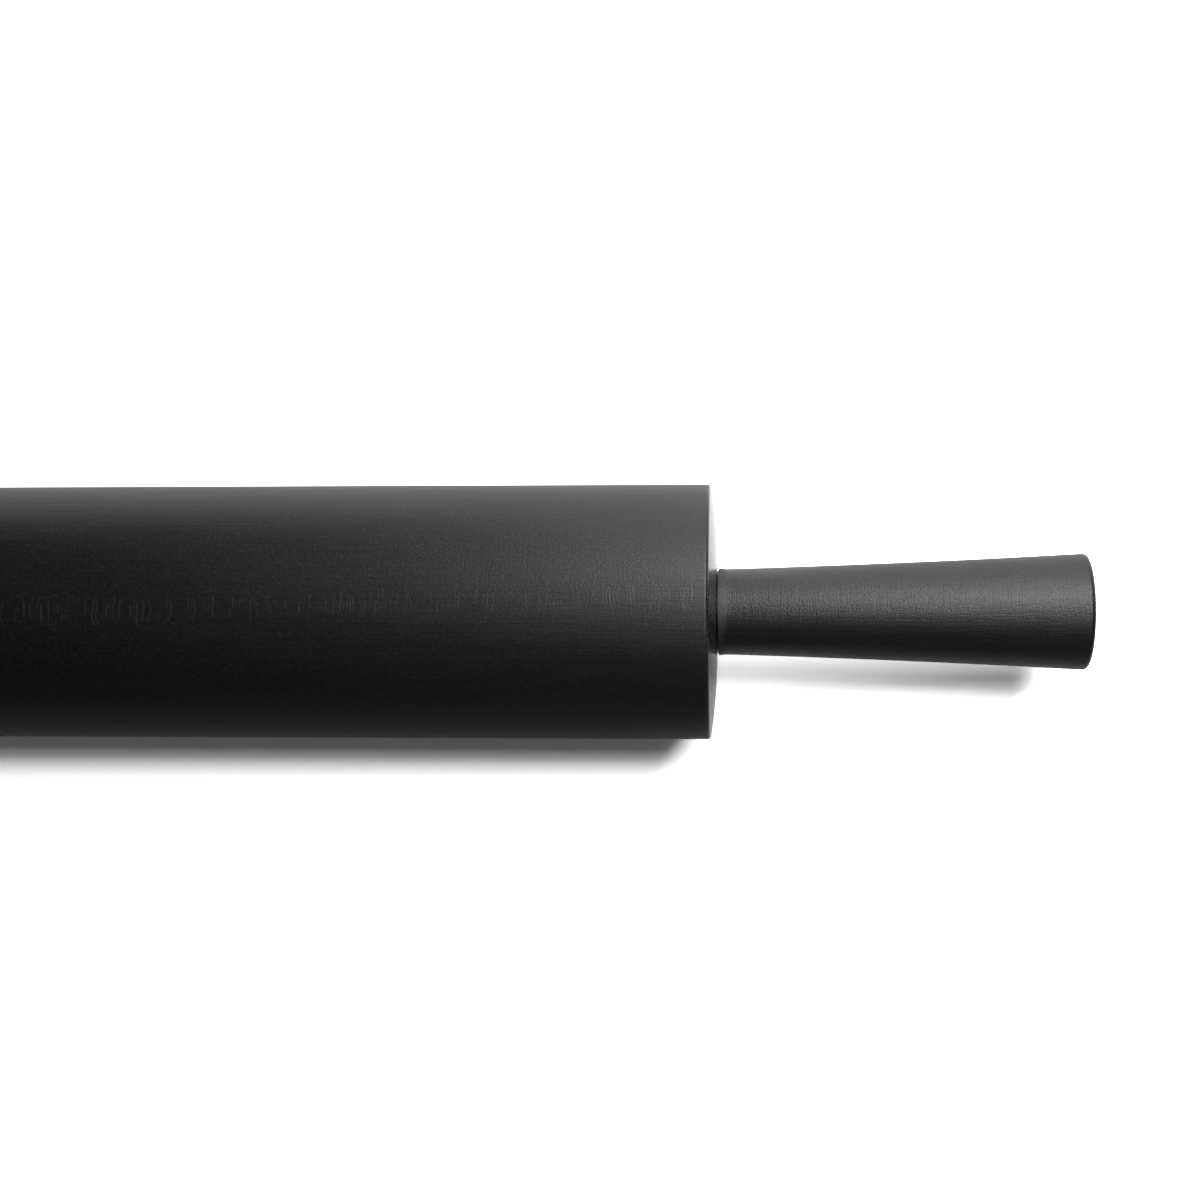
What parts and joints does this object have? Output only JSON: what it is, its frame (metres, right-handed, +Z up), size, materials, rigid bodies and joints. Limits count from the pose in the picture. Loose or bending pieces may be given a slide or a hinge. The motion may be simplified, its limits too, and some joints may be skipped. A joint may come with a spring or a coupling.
{
  "type": "rolling pin",
  "caption": "Black-stained wooden rolling pin with slim flared handles, a straight barrel with softly domed ends, and a barrel that turns on ball bearings round a steel axle.",
  "frame": {"origin": "middle of the axle, on the pin's own axis, halfway between the two handles' ends", "axes": "+X along the pin towards the right handle, +Z up, +Y away from the cook"},
  "size_m": [0.4546, 0.06, 0.06],
  "materials": {
    "barrel_wood": "black-stained maple, oiled satin, fine grain along the barrel",
    "handle_wood": "black-stained maple, oiled satin, fine grain along the handle",
    "cup_nylon": "moulded natural nylon",
    "bearing_steel": "ground bearing steel",
    "ball_steel": "polished bearing steel",
    "cage_nylon": "moulded amber nylon",
    "shield_steel": "rolled sheet",
    "axle_steel": "drawn bright bar",
    "spring_steel": "phosphated spring steel",
    "washer_nylon": "moulded black nylon",
    "insert_brass": "turned brass"
  },
  "bodies": {
    "axle_and_handles": {"axle": "axle_steel", "inner_race_left": "bearing_steel", "inner_race_right": "bearing_steel", "retaining_ring_left": "spring_steel", "retaining_ring_right": "spring_steel", "neck_washer_left": "washer_nylon", "neck_washer_right": "washer_nylon", "handle_insert_left": "insert_brass", "handle_insert_right": "insert_brass", "handle_left": "handle_wood", "handle_right": "handle_wood"},
    "barrel": {"barrel": "barrel_wood", "bearing_cup_left": "cup_nylon", "bearing_cup_right": "cup_nylon", "outer_race_left": "bearing_steel", "outer_race_right": "bearing_steel", "shields_left": "shield_steel", "shields_right": "shield_steel"},
    "cage_left": {"ball_cage_left": "cage_nylon", "balls_left": "ball_steel"},
    "cage_right": {"ball_cage_right": "cage_nylon", "balls_right": "ball_steel"}
  },
  "joints": [
    {"name": "barrel_spin", "type": "hinge", "parent": "axle_and_handles", "child": "barrel", "pos_m": [0, 0, 0], "axis": [1, 0, 0], "continuous": true},
    {"name": "cage_left_roll", "type": "hinge", "parent": "axle_and_handles", "child": "cage_left", "pos_m": [-0.1385, 0, 0], "axis": [1, 0, 0], "continuous": true},
    {"name": "cage_right_roll", "type": "hinge", "parent": "axle_and_handles", "child": "cage_right", "pos_m": [0.1385, 0, 0], "axis": [1, 0, 0], "continuous": true}
  ],
  "couplings": [
    {"joint": "cage_left_roll", "follows": "barrel_spin", "ratio": 0.59904},
    {"joint": "cage_right_roll", "follows": "barrel_spin", "ratio": 0.59904}
  ]
}
